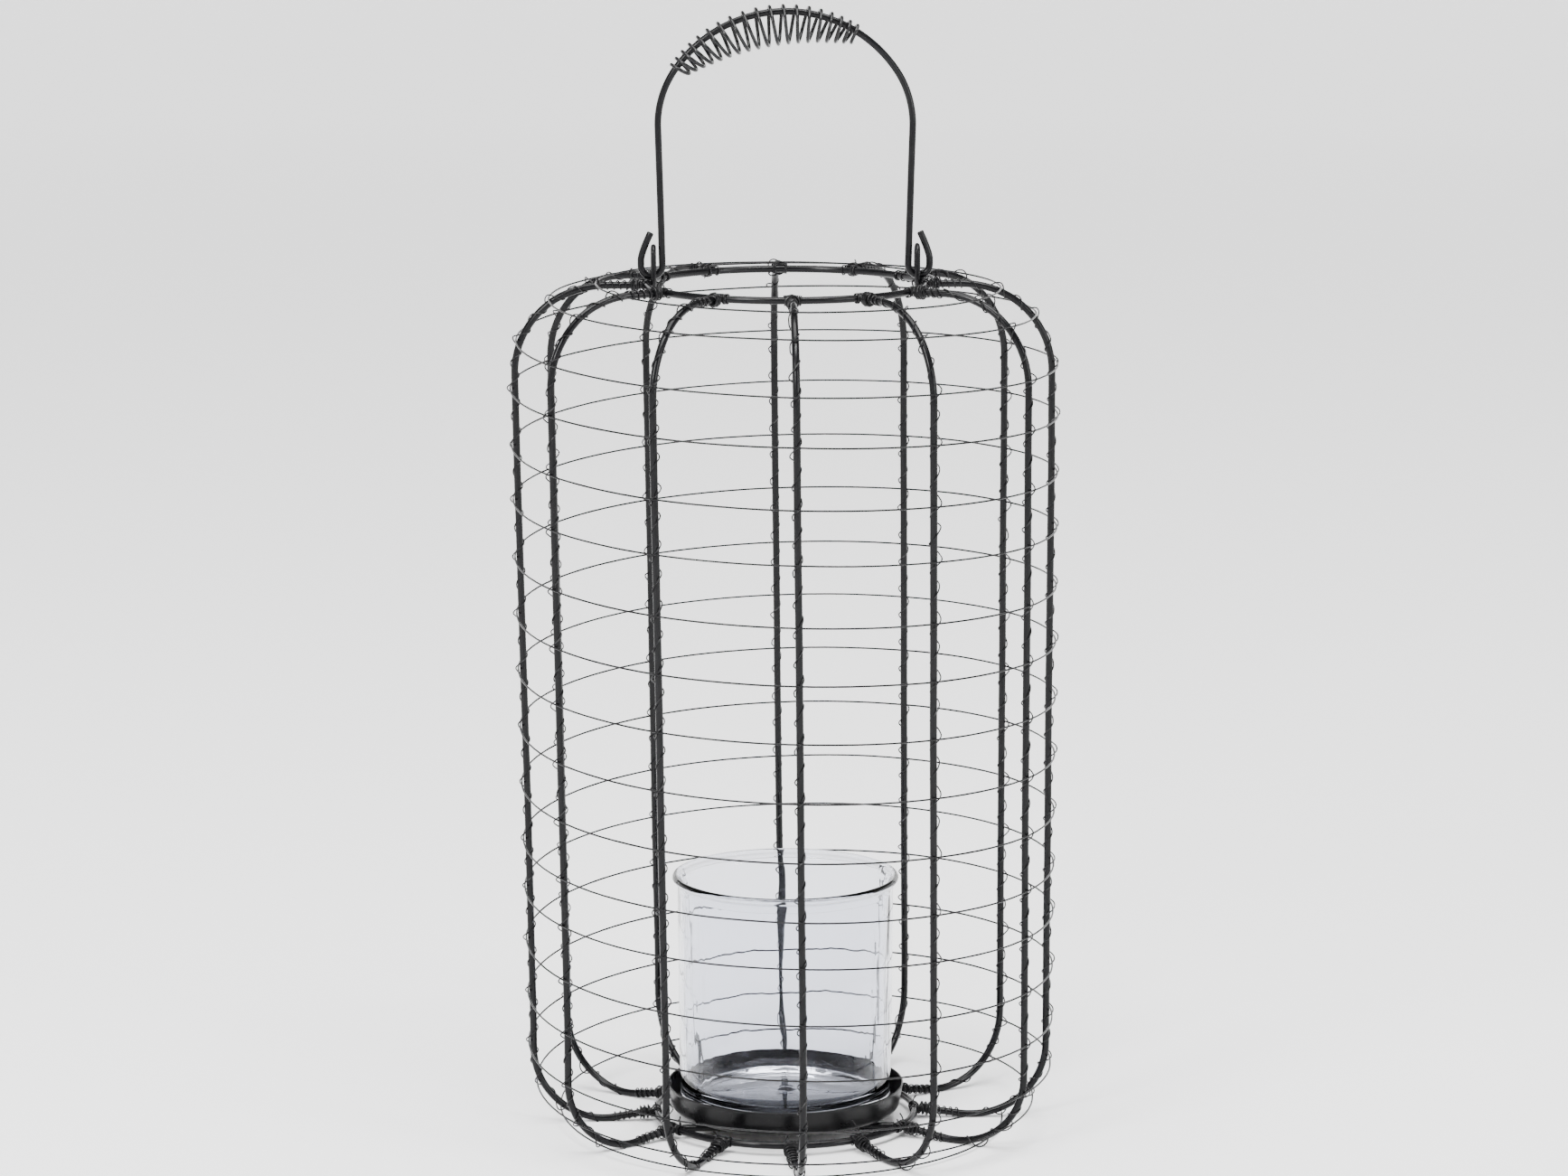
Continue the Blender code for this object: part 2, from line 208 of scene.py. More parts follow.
def makeStudio():
    p = studio
    outline = [(p["flat"] * part, 0.0) for part in (0.0, 0.25, 0.5, 0.75)]
    outline += arc((p["flat"], p["bend"]), p["bend"], -90, 0, p["bendSteps"])
    outline.append((p["flat"] + p["bend"], p["top"]))
    floor = turned("studioFloor", outline, p["turnSteps"], makePaper())

    world = bpy.data.worlds.new("studioSky")
    world.use_nodes = True
    tree = world.node_tree
    sky = tree.nodes["Background"]
    sky.inputs["Color"].default_value = (1, 1, 1, 1)
    rays = addNode(tree, "ShaderNodeLightPath").outputs
    seen = mathNode(tree, "MAXIMUM", rays["Is Camera Ray"], rays["Is Transmission Ray"])
    feed(tree, sky.inputs["Strength"], rangeNode(tree, seen, 0, 1, p["skyStrength"], p["paleStrength"]))
    bpy.context.scene.world = world

    for name, lamp in p["lamps"].items():
        data = bpy.data.lights.new(name, "AREA")
        data.shape = "RECTANGLE"
        data.size, data.size_y = lamp["size"]
        data.energy = lamp["power"]
        item = bpy.data.objects.new(name, data)
        item.location = lamp["place"]
        item.rotation_euler = (Vector(lamp["aim"]) - item.location).to_track_quat("-Z", "Y").to_euler()
        bpy.context.scene.collection.objects.link(item)


makeCamera()
makeStudio()
print("camera, floor and lamps are up")


lacquerFinishes = {
    "frameLacquer": {
        "deep": (0.0022, 0.0022, 0.0027), "thin": (0.0060, 0.0059, 0.0066), "dust": (0.026, 0.025, 0.024),
        "glossy": 0.13, "dull": 0.25, "shine": 0.14, "coat": 0.02, "streaks": 0.30, "peel": 0.10,
    },
    "gripLacquer": {
        "deep": (0.0024, 0.0024, 0.0028), "thin": (0.0090, 0.0088, 0.0094), "dust": (0.030, 0.029, 0.028),
        "glossy": 0.13, "dull": 0.24, "shine": 0.22, "coat": 0.04, "streaks": 0.35, "peel": 0.08,
    },
    "thinWireLacquer": {
        "deep": (0.0050, 0.0050, 0.0056), "thin": (0.0110, 0.0108, 0.0114), "dust": (0.034, 0.033, 0.032),
        "glossy": 0.20, "dull": 0.34, "shine": 0.16, "coat": 0.0, "streaks": 0.25, "peel": 0.06,
    },
}


def makeWireLacquer(name):
    # lacquer over drawn wire: streaks along the wire, a little orange peel and settled dust
    p = lacquerFinishes[name]
    material, tree, shader, place = startMaterial(name)
    along = addNode(tree, "ShaderNodeAttribute", attribute_name="wireLength").outputs["Fac"]
    turn = addNode(tree, "ShaderNodeAttribute", attribute_name="wireTurn").outputs["Fac"]
    angle = mathNode(tree, "MULTIPLY", turn, fullTurn)
    across, depth = mathNode(tree, "COSINE", angle), mathNode(tree, "SINE", angle)
    inputs = {0: across, 1: depth, 2: mathNode(tree, "MULTIPLY", along, 9.0)}
    onWire = addNode(tree, "ShaderNodeCombineXYZ", inputs).outputs[0]
    streaks = noiseNode(tree, onWire, 7.0, 4.0, 0.6)
    cloud = noiseNode(tree, place, 38.0, 4.0, 0.6)
    peel = noiseNode(tree, place, 900.0, 2.0, 0.5)
    grit = noiseNode(tree, place, 2600.0, 2.0, 0.7)

    thinness = rangeNode(tree, mathNode(tree, "ADD", streaks, cloud), 0.85, 1.30, 0.0, 1.0)
    colour = mixColours(tree, thinness, p["deep"], p["thin"])
    normal = addNode(tree, "ShaderNodeNewGeometry").outputs["Normal"]
    upward = addNode(tree, "ShaderNodeSeparateXYZ", {0: normal}).outputs[2]
    settled = rangeNode(tree, upward, 0.55, 1.0, 0.0, 0.55)
    dust = mathNode(tree, "MULTIPLY", settled, rangeNode(tree, grit, 0.50, 0.72, 0.0, 1.0))
    feed(tree, shader["Base Color"], mixColours(tree, dust, colour, p["dust"]))
    rough = rangeNode(tree, cloud, 0.32, 0.68, p["glossy"], p["dull"])
    rough = mathNode(tree, "ADD", rough, mathNode(tree, "MULTIPLY", dust, 0.3))
    feed(tree, shader["Roughness"], rough)
    feed(tree, shader["Specular IOR Level"], p["shine"])
    feed(tree, shader["Coat Weight"], p["coat"])
    feed(tree, shader["Coat Roughness"], 0.12)
    first = bumpNode(tree, streaks, p["streaks"], 0.00008)
    feed(tree, shader["Normal"], bumpNode(tree, peel, p["peel"], 0.00006, first))
    return material


enamel = {
    "deep": (0.0024, 0.0024, 0.0028),
    "worn": (0.0075, 0.0073, 0.0076),
    "dust": (0.028, 0.027, 0.026),
    "glossy": 0.20,
    "dull": 0.36,
    "shine": 0.14,
    "coat": 0.03,
}


def makeEnamel():
    # black enamel on the pressed dish, duller in circles where it was turned and wiped
    p = enamel
    material, tree, shader, place = startMaterial("dishEnamel")
    cloud = noiseNode(tree, place, 30.0, 5.0, 0.6)
    peel = noiseNode(tree, place, 650.0, 2.0, 0.5)
    grit = noiseNode(tree, place, 2200.0, 3.0, 0.7)
    inputs = {"Vector": place, "Scale": 160.0, "Distortion": 1.5}
    rings = addNode(tree, "ShaderNodeTexWave", inputs, wave_type="RINGS", rings_direction="Z")
    colour = mixColours(tree, rangeNode(tree, cloud, 0.42, 0.70, 0.0, 1.0), p["deep"], p["worn"])
    specks = rangeNode(tree, grit, 0.60, 0.74, 0.0, 0.6)
    feed(tree, shader["Base Color"], mixColours(tree, specks, colour, p["dust"]))
    rough = rangeNode(tree, cloud, 0.30, 0.70, p["glossy"], p["dull"])
    rough = mathNode(tree, "MULTIPLY_ADD", specks, 0.2, rough)
    feed(tree, shader["Roughness"], rough)
    feed(tree, shader["Specular IOR Level"], p["shine"])
    feed(tree, shader["Coat Weight"], p["coat"])
    feed(tree, shader["Coat Roughness"], 0.10)
    first = bumpNode(tree, rings.outputs["Fac"], 0.10, 0.00004)
    feed(tree, shader["Normal"], bumpNode(tree, peel, 0.14, 0.00008, first))
    return material


clearGlass = {
    "tint": (0.825, 0.842, 0.900),
    "smear": (0.800, 0.818, 0.865),
    "ior": 1.50,
    "shine": (0.12, 0.12, 0.13),    # weakens the mirror images of the room
    "clean": 0.0,
    "smeared": 0.045,
    "ripple": 0.30,
    "floorZ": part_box("glass_cup")[0].z + 0.0085,    # the floor is smoother than the wall above it
}


def makeGlass():
    # clear glass with soft draw marks and a few wiped smears
    p = clearGlass
    material, tree, shader, place = startMaterial("clearGlass")
    stretched = addNode(tree, "ShaderNodeMapping", {"Vector": place, "Scale": (1.0, 1.0, 0.22)}).outputs[0]
    drawMarks = noiseNode(tree, stretched, 62.0, 2.0, 0.5)
    smears = noiseNode(tree, place, 26.0, 5.0, 0.65)
    amount = rangeNode(tree, smears, 0.52, 0.78, 0.0, 1.0)
    feed(tree, shader["Base Color"], mixColours(tree, amount, p["tint"], p["smear"]))
    feed(tree, shader["Roughness"], rangeNode(tree, smears, 0.52, 0.78, p["clean"], p["smeared"]))
    feed(tree, shader["Transmission Weight"], 1.0)
    feed(tree, shader["IOR"], p["ior"])
    feed(tree, shader["Specular Tint"], (*p["shine"], 1))
    height = addNode(tree, "ShaderNodeSeparateXYZ", {0: place}).outputs[2]
    wallShare = rangeNode(tree, height, p["floorZ"], p["floorZ"] + 0.014, 0.12, 1.0)
    ripple = mathNode(tree, "MULTIPLY", drawMarks, wallShare)
    feed(tree, shader["Normal"], bumpNode(tree, ripple, p["ripple"], 0.0012))
    return material


frameLacquer = makeWireLacquer("frameLacquer")
gripLacquer = makeWireLacquer("gripLacquer")
thinWireLacquer = makeWireLacquer("thinWireLacquer")
dishEnamel = makeEnamel()
glassFinish = makeGlass()
print("lacquers, enamel and glass are mixed")


# geometry trees: a path becomes a round wire, alone or repeated round the cage's axis

def startTree(name, sizes):
    tree = bpy.data.node_groups.new(name, "GeometryNodeTree")
    tree.interface.new_socket("Geometry", in_out="INPUT", socket_type="NodeSocketGeometry")
    keys = {}
    for label, kind in sizes.items():
        socket = tree.interface.new_socket(label, in_out="INPUT", socket_type="NodeSocket" + kind)
        keys[label] = socket.identifier
    tree.interface.new_socket("Geometry", in_out="OUTPUT", socket_type="NodeSocketGeometry")
    start = addNode(tree, "NodeGroupInput")
    return tree, keys, start.outputs, addNode(tree, "NodeGroupOutput").inputs[0]


skinSizes = {"Wire radius": "Float", "Sides": "Int", "Sway": "Float", "Sway scale": "Float"}


def makeSkinTree():
    # a curve gets a little hand-made sway, then a round section, thinner where 'thinning' says so
    tree, keys, start, end = startTree("wireSkin", skinSizes)
    spot = addNode(tree, "GeometryNodeInputPosition").outputs[0]
    inputs = {"Vector": spot, "Scale": start["Sway scale"], "Detail": 1.0}
    drift = addNode(tree, "ShaderNodeTexNoise", inputs).outputs["Color"]
    inputs = {0: drift, 1: (0.5, 0.5, 0.5)}
    centred = addNode(tree, "ShaderNodeVectorMath", inputs, operation="SUBTRACT").outputs[0]
    inputs = {0: centred, "Scale": start["Sway"]}
    offset = addNode(tree, "ShaderNodeVectorMath", inputs, operation="SCALE").outputs[0]
    swayed = addNode(tree, "GeometryNodeSetPosition", {"Geometry": start["Geometry"], "Offset": offset})

    parameter = addNode(tree, "GeometryNodeSplineParameter").outputs
    inputs = {"Geometry": swayed.outputs[0], "Name": "wireLength", "Value": parameter["Length"]}
    line = addNode(tree, "GeometryNodeStoreNamedAttribute", inputs, data_type="FLOAT", domain="POINT")
    inputs = {"Resolution": start["Sides"], "Radius": start["Wire radius"]}
    circle = addNode(tree, "GeometryNodeCurvePrimitiveCircle", inputs, mode="RADIUS").outputs["Curve"]
    inputs = {"Geometry": circle, "Name": "wireTurn", "Value": parameter["Factor"]}
    section = addNode(tree, "GeometryNodeStoreNamedAttribute", inputs, data_type="FLOAT", domain="POINT")
    thinning = addNode(tree, "GeometryNodeInputNamedAttribute", {"Name": "thinning"}, data_type="FLOAT")
    width = mathNode(tree, "SUBTRACT", 1.0, thinning.outputs["Attribute"])
    inputs = {"Curve": line.outputs[0], "Profile Curve": section.outputs[0], "Scale": width}
    tube = addNode(tree, "GeometryNodeCurveToMesh", {**inputs, "Fill Caps": True}).outputs[0]
    smooth = addNode(tree, "GeometryNodeSetShadeSmooth", {"Geometry": tube})
    feed(tree, end, smooth.outputs[0])
    return tree


skinTree = makeSkinTree()


def finishTree(tree, start, end, curve):
    skin = addNode(tree, "GeometryNodeGroup", node_tree=skinTree)
    feed(tree, skin.inputs["Geometry"], curve)
    for label in skinSizes:
        feed(tree, skin.inputs[label], start[label])
    real = addNode(tree, "GeometryNodeRealizeInstances", {0: skin.outputs[0]}).outputs[0]
    finish = addNode(tree, "GeometryNodeSetMaterial", {"Geometry": real, "Material": start["Finish"]})
    feed(tree, end, finish.outputs[0])


def makePathTree():
    tree, keys, start, end = startTree("wireAlongPath", {**skinSizes, "Finish": "Material"})
    curve = addNode(tree, "GeometryNodeMeshToCurve", {0: start["Geometry"]}).outputs[0]
    finishTree(tree, start, end, curve)
    return tree, keys


def makeRoundTree():
    sizes = {**skinSizes, "Finish": "Material", "Count": "Int", "Seed": "Int"}
    sizes.update({"First turn": "Float", "Slack turn": "Float"})
    tree, keys, start, end = startTree("wiresRoundAxis", sizes)
    curve = addNode(tree, "GeometryNodeMeshToCurve", {0: start["Geometry"]}).outputs[0]
    points = addNode(tree, "GeometryNodePoints", {"Count": start["Count"]}).outputs[0]
    index = addNode(tree, "GeometryNodeInputIndex").outputs[0]
    step = mathNode(tree, "DIVIDE", fullTurn, start["Count"])
    chance = addNode(tree, "FunctionNodeRandomValue", data_type="FLOAT")
    limits = {"Min": mathNode(tree, "MULTIPLY", start["Slack turn"], -1.0), "Max": start["Slack turn"]}
    for socket in chance.inputs:
        if socket.enabled and socket.name in limits:
            feed(tree, socket, limits[socket.name])
    feed(tree, chance.inputs["Seed"], start["Seed"])
    slack = [s for s in chance.outputs if s.enabled][0]
    turn = mathNode(tree, "MULTIPLY_ADD", index, step, start["First turn"])
    facing = addNode(tree, "ShaderNodeCombineXYZ", {2: mathNode(tree, "ADD", turn, slack)}).outputs[0]
    inputs = {"Points": points, "Instance": curve, "Rotation": facing}
    copies = addNode(tree, "GeometryNodeInstanceOnPoints", inputs).outputs[0]
    real = addNode(tree, "GeometryNodeRealizeInstances", {0: copies}).outputs[0]
    finishTree(tree, start, end, real)
    return tree, keys


pathTree, pathKeys = makePathTree()
roundTree, roundKeys = makeRoundTree()


def runTree(name, mesh, tree, keys, values):
    # the tree's result as a plain mesh object at the origin
    source = bpy.data.objects.new(name + "Path", mesh)
    bpy.context.scene.collection.objects.link(source)
    modifier = source.modifiers.new("wire", "NODES")
    modifier.node_group = tree
    for label, value in values.items():
        modifier[keys[label]] = value
    bpy.context.view_layer.update()
    graph = bpy.context.evaluated_depsgraph_get()
    made = bpy.data.meshes.new_from_object(source.evaluated_get(graph), depsgraph=graph)
    made.name = name
    bpy.data.objects.remove(source, do_unlink=True)
    made.set_sharp_from_angle(angle=math.radians(50))
    piece = bpy.data.objects.new(name, made)
    bpy.context.scene.collection.objects.link(piece)
    return piece


def pathMesh(name, runs):
    # runs of points as edges; a run is (points, closed, thinning or None)
    mesh = bpy.data.meshes.new(name + "Path")
    points, edges, thin = [], [], []
    for run, closed, thinning in runs:
        first = len(points)
        points += run
        thin += thinning or [0.0] * len(run)
        edges += [(first + i, first + i + 1) for i in range(len(run) - 1)]
        if closed:
            edges.append((len(points) - 1, first))
    mesh.from_pydata(points, edges, [])
    mesh.attributes.new("thinning", "FLOAT", "POINT").data.foreach_set("value", thin)
    return mesh


def makeWire(name, runs, radius, sides, finish, sway=0.0, swayScale=20.0):
    values = {"Wire radius": radius, "Sides": sides, "Sway": sway, "Sway scale": swayScale, "Finish": finish}
    return runTree(name, pathMesh(name, runs), pathTree, pathKeys, values)


def between(start, end, steps):
    # evenly spaced points between two places of an outline, without the two themselves
    parts = [step / steps for step in range(1, steps)]
    return [(start[0] + (end[0] - start[0]) * t, start[1] + (end[1] - start[1]) * t) for t in parts]


def clamped(value):
    return min(1.0, max(0.0, value))


def roundEnd(path, radius, flat=1.0, steps=4):
    # adds a domed end after the path's last point, lower where 'flat' is less than one
    ahead = (path[-1] - path[-2]).normalized() * flat
    points, thinning = list(path), [0.0] * len(path)
    for step in range(1, steps + 1):
        angle = math.pi / 2 * step / (steps + 0.35)
        points.append(path[-1] + ahead * radius * math.sin(angle))
        thinning.append((1 - math.cos(angle)) * (0.4 + 0.6 * flat))
    return points, thinning


def domed(path, radius, flat=1.0):
    # a run with both ends domed
    points, thinning = roundEnd(path, radius, flat)
    points.reverse()
    thinning.reverse()
    more, moreThinning = roundEnd(points, radius, flat)
    return more, False, thinning + moreThinning[len(thinning):]


def middle(node):
    low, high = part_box(node)
    return (low + high) / 2


def span(node):
    low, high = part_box(node)
    return high - low


frameRadius = span("top_ring").z / 2
ringFineness = {"steps": 180, "sides": 16, "sway": 0.0004, "swayScale": 9.0}
topRing = {"radius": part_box("top_ring")[1].x - frameRadius, "z": middle("top_ring").z}
bottomRing = {"radius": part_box("bottom_ring")[1].x - frameRadius, "z": middle("bottom_ring").z}


def makeRing(name, ring, node):
    p = ringFineness
    circle = [Vector((x, y, ring["z"])) for x, y in arc((0, 0), ring["radius"], 0, 360, p["steps"])[:-1]]
    sway = (p["sway"], p["swayScale"])
    piece = makeWire(name, [(circle, True, None)], frameRadius, p["sides"], frameLacquer, *sway)
    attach(piece, "cage")
    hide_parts(node)


makeRing("topRing", topRing, "top_ring")
makeRing("bottomRing", bottomRing, "bottom_ring")

ribs = {
    "count": 12,
    "radius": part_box("rib_04")[1].x - frameRadius,
    "shoulderBend": 0.050,
    "footBend": 0.042,
    "gap": 0.0003,
    "bendSteps": 24,
    "sideStep": 0.010,
    "sides": 14,
    "slackTurn": 0.35,      # degrees either way
    "sway": 0.0011,
    "swayScale": 7.0,
}


def ribOutline():
    # a rib's wire centre as (radius, height), from the top ring to the bottom ring
    p = ribs
    shoulder = (p["radius"] - p["shoulderBend"], topRing["z"] - p["shoulderBend"])
    foot = (p["radius"] - p["footBend"], frameRadius + p["footBend"])
    end = (bottomRing["radius"] + frameRadius + p["gap"], bottomRing["z"])
    toEnd = (end[0] - foot[0], end[1] - foot[1])
    leave = math.atan2(toEnd[1], toEnd[0]) + math.acos(p["footBend"] / math.hypot(*toEnd))
    flat = topRing["radius"] + frameRadius + p["gap"]
    points = [(flat, topRing["z"]), ((flat + shoulder[0]) / 2, topRing["z"])]
    points += arc(shoulder, p["shoulderBend"], 90, 0, p["bendSteps"])
    steps = round((shoulder[1] - foot[1]) / p["sideStep"])
    points += between((p["radius"], shoulder[1]), (p["radius"], foot[1]), steps)
    points += arc(foot, p["footBend"], 0, math.degrees(leave), p["bendSteps"])
    return [*points, *between(points[-1], end, 2), end]


settling = {
    "lean": 0.0038,         # how far the left side leans, out at the top and in at the bottom
    "push": 0.0009,         # how far the right side stands out
    "middle": 0.26,
    "half": 0.19,
    "inner": 0.086,         # nearer the axis than this, at the two rings, nothing moves
    "outer": 0.130,
}


def settle(piece):
    # the hand-bent cage isn't quite true: its left side leans a little
    p = settling
    mesh = piece.data
    for vertex in mesh.vertices:
        x, y, z = vertex.co
        radius = math.hypot(x, y)
        away = clamped((radius - p["inner"]) / (p["outer"] - p["inner"]))
        away *= away * (3 - 2 * away)
        right = x / radius if radius else 0.0
        level = min(1.0, max(-1.0, (p["middle"] - z) / p["half"]))
        vertex.co.x += away * (p["push"] * (1 + right) + p["lean"] * level * (1 - right) / 2)
    mesh.update()


def makeRibs():
    p = ribs
    path = [Vector((r, 0, z)) for r, z in ribOutline()]
    values = {
        "Wire radius": frameRadius, "Sides": p["sides"], "Sway": p["sway"], "Sway scale": p["swayScale"],
        "Finish": frameLacquer, "Count": p["count"], "First turn": math.radians(-90),
        "Slack turn": math.radians(p["slackTurn"]), "Seed": 4,
    }
    piece = runTree("cageRibs", pathMesh("cageRibs", [(path, False, None)]), roundTree, roundKeys, values)
    settle(piece)
    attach(piece, "cage")
    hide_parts(*[f"rib_{number + 1:02d}" for number in range(p["count"])])


makeRibs()
print("rings and ribs are bent")

bars = {
    "nodes": {"dishBarFront": "dish_support_bar_front", "dishBarRear": "dish_support_bar_rear"},
    "sides": 16,
    "steps": 14,
    "sway": 0.0003,
    "swayScale": 12.0,
}


def makeBars():
    p = bars
    for name, node in p["nodes"].items():
        low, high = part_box(node)
        y, z = middle(node).y, middle(node).z
        xs = [low.x + (high.x - low.x) * step / p["steps"] for step in range(p["steps"] + 1)]
        runs = [([Vector((x, y, z)) for x in xs], False, None)]
        sway = (p["sway"], p["swayScale"])
        piece = makeWire(name, runs, frameRadius, p["sides"], frameLacquer, *sway)
        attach(piece, "cage")
        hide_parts(node)


makeBars()

spiral = {
    "wire": 0.0010,
    "inset": 0.006,
    "endAngle": 75.5,
    "lean": 0.006,
    "earlyTurn": 0.75,
    "lateTurn": 0.25,
    "spacing": (30, 22, 33, 27, 34, 30, 34, 32, 32, 33, 33, 33, 26, 32, 31, 29, 24, 21, 6),
    "steps": 96,
    "sides": 8,
    "sway": 0.0006,
    "swayScale": 16.0,
}
spiralRadius = spiral["wire"] / 2
spiralLift = frameRadius + ribs["gap"] + spiralRadius


def spiralParts():
    # lengths of the flat, the shoulder bend and the straight side, along the ribs' outside
    flat = ribs["radius"] - ribs["shoulderBend"] - topRing["radius"]
    shoulder = (ribs["shoulderBend"] + spiralLift) * math.pi / 2
    side = topRing["z"] - ribs["shoulderBend"] - frameRadius - ribs["footBend"]
    return flat, shoulder, side


def spiralPlace(length, lift):
    # radius, height and outward direction at a length along the ribs' outside, lifted off the wire centre
    flat, shoulder, side = spiralParts()
    if length < flat:
        return topRing["radius"] + length, topRing["z"] + lift, 0.0, 1.0
    length -= flat
    if length < shoulder:
        angle = length / (ribs["shoulderBend"] + spiralLift)
        out, up = math.sin(angle), math.cos(angle)
        bend = ribs["shoulderBend"]
        middleR, middleZ = ribs["radius"] - bend, topRing["z"] - bend
        return middleR + (bend + lift) * out, middleZ + (bend + lift) * up, out, up
    length -= shoulder
    if length < side:
        return ribs["radius"] + lift, topRing["z"] - ribs["shoulderBend"] - length, 1.0, 0.0
    bend = ribs["footBend"]
    angle = (length - side) / (bend + spiralLift)
    out, down = math.cos(angle), math.sin(angle)
    middleR, middleZ = ribs["radius"] - bend, frameRadius + bend
    return middleR + (bend + lift) * out, middleZ - (bend + lift) * down, out, -down


def spiralEnd():
    flat, shoulder, side = spiralParts()
    return flat + shoulder + side + (ribs["footBend"] + spiralLift) * math.radians(spiral["endAngle"])


def spiralMarks():
    # turn numbers and lengths between which the spiral runs evenly
    p = spiral
    full = len(p["spacing"]) - 1
    marks = [-p["earlyTurn"], *range(full), full - 1 + p["lateTurn"]]
    scale = (spiralEnd() - p["inset"] - p["lean"]) / sum(p["spacing"])
    lengths = [p["inset"]]
    for space in p["spacing"]:
        lengths.append(lengths[-1] + space * scale)
    return marks, lengths


def spiralLength(turn):
    # length along the ribs' outside at a turn number, which counts up from the first pass at the front
    marks, lengths = spiralMarks()
    index = max(i for i in range(len(marks) - 1) if marks[i] <= turn + 1e-9)
    part = (turn - marks[index]) / (marks[index + 1] - marks[index])
    length = lengths[index] + part * (lengths[index + 1] - lengths[index])
    return max(length + spiral["lean"] * math.cos(fullTurn * turn), spiral["inset"])


def makeSpiral():
    p = spiral
    marks, lengths = spiralMarks()
    steps = round((marks[-1] - marks[0]) * p["steps"])
    path = []
    for step in range(steps + 1):
        turn = marks[0] + step / p["steps"]
        radius, height = spiralPlace(spiralLength(turn), spiralLift)[:2]
        azimuth = math.radians(-90) + fullTurn * turn
        path.append(Vector((radius * math.cos(azimuth), radius * math.sin(azimuth), height)))
    sway = (p["sway"], p["swayScale"])
    piece = makeWire("spiralWire", [(path, False, None)], spiralRadius, p["sides"], thinWireLacquer, *sway)
    settle(piece)
    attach(piece, "cage")
    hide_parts("spiral_wire")


makeSpiral()
print("spiral is wound on")


def smoothPath(points, steps):
    # a smooth curve through the points
    points = [2 * points[0] - points[1], *points, 2 * points[-1] - points[-2]]
    path = []
    for a, b, c, d in zip(points, points[1:], points[2:], points[3:]):
        for step in range(steps):
            t = step / steps
            square, cube = 2 * a - 5 * b + 4 * c - d, 3 * b - a - 3 * c + d
            path.append(0.5 * (2 * b + (c - a) * t + square * t * t + cube * t ** 3))
    return path + [points[-2]]


binding = {
    "wire": 0.0008,
    "seed": 21,
    "pitch": 0.0152,        # about one turn of the binding wire along a rib
    "crowdPitch": 0.0036,   # the same near the top ring
    "crowdEnd": 0.024,
    "steps": 18,            # points in one turn
    "sides": 5,
    "linger": 0.35,         # how much slower it crosses the front than the back
    "overSpiral": (0.0013, 0.0026),     # how far it bows out over the spiral wire
    "frontSlack": (0.0, 0.0002),
    "sideSlack": (0.0, 0.0002),
    "looseShare": 0.05,
    "looseSlack": (0.0006, 0.0013),
    "shoulderShare": 0.14,
    "shoulderSlack": (0.0010, 0.0024),
    "knotTurns": 6,
    "knotPitch": 0.00095,
    "overTurns": 3,         # turns of a knot's second layer
    "lowTurns": 5,          # uneven turns up a rib's lowest stretch
    "lowSlack": (0.0003, 0.0012),
    "ringTurns": (1, 2, 3),
    "ringPitch": 0.00092,
    "ringAside": 0.0024,    # the wraps on a ring start this far from the rib's centre
    "wobble": 0.0003,
    "ringGap": 0.0004,      # from the ring's wire to the first knot
    "overStart": 0.0012,
    "overLift": 1.4,        # how far the third layer stands off, in wires
    "pastSpiral": 0.009,    # how far it goes on below the spiral's end
    "keepKnot": 0.004,      # it winds over the spiral no nearer than this to its knot
    "keepEnd": 0.003,
    "footGap": 0.0008,
    "footOver": 0.001,
    "footLift": 1.5,
    "tail": (0.0025, 0.0075),
    "tailCurl": 0.45,
    "tailSteps": 6,
    "handleSide": 0.8,      # under the handle at its limits, a rib's direction has at least this cosine
}
bindingRadius = binding["wire"] / 2
bindingClose = frameRadius + bindingRadius
ribAzimuths = [math.radians(-90) + fullTurn * number / ribs["count"] for number in range(ribs["count"])]


def ribSpot(azimuth, length, around, away):
    # a point beside a rib: 'length' along it, 'around' its wire from the outer side, 'away' from its centre
    radius, height, out, up = spiralPlace(length, 0.0)
    outward = Vector((math.cos(azimuth) * out, math.sin(azimuth) * out, up))
    sideways = Vector((-math.sin(azimuth), math.cos(azimuth), 0))
    centre = Vector((radius * math.cos(azimuth), radius * math.sin(azimuth), height))
    return centre + (outward * math.cos(around) + sideways * math.sin(around)) * away


def ringSpot(ring, azimuth, aside, around, away):
    # a point beside a ring: 'aside' from an azimuth, 'around' its wire from the top outwards
    place = azimuth + aside / ring["radius"]
    outward = Vector((math.cos(place), math.sin(place), 0))
    centre = outward * ring["radius"] + Vector((0, 0, ring["z"]))
    return centre + (Vector((0, 0, math.cos(around))) + outward * math.sin(around)) * away


def ringKnot(ring, azimuth, chance):
    # turns on a ring that come in to one side of a rib, and turns that go out from its other side
    p = binding
    path = []
    first = chance.choice((-1, 1))
    for side in (first, -first):
        total = chance.choice(p["ringTurns"]) * p["steps"]
        for step in range(total + 1):
            out = total - step if side == first else step
            aside = side * (p["ringAside"] + p["ringPitch"] * out / p["steps"])
            away = bindingClose + p["wobble"] * chance.random()
            path.append(ringSpot(ring, azimuth, aside, fullTurn * step / p["steps"], away))
    return path


def cutTail(point, direction, length, chance):
    # a short cut end that curves away from its knot
    curl = Vector((chance.uniform(-1, 1), chance.uniform(-1, 1), chance.uniform(-0.4, 0.6)))
    curl, steps = curl * binding["tailCurl"], binding["tailSteps"]
    return [point + (direction + curl * i / steps) * length * i / steps for i in range(1, steps + 1)]


def crossingLengths(azimuth):
    # where the spiral crosses a rib, from the top down
    marks, lengths = spiralMarks()
    share = (azimuth - math.radians(-90)) / fullTurn
    turns = [number + share for number in range(-1, len(spiral["spacing"]))]
    return [spiralLength(turn) for turn in turns if marks[0] <= turn <= marks[-1]]


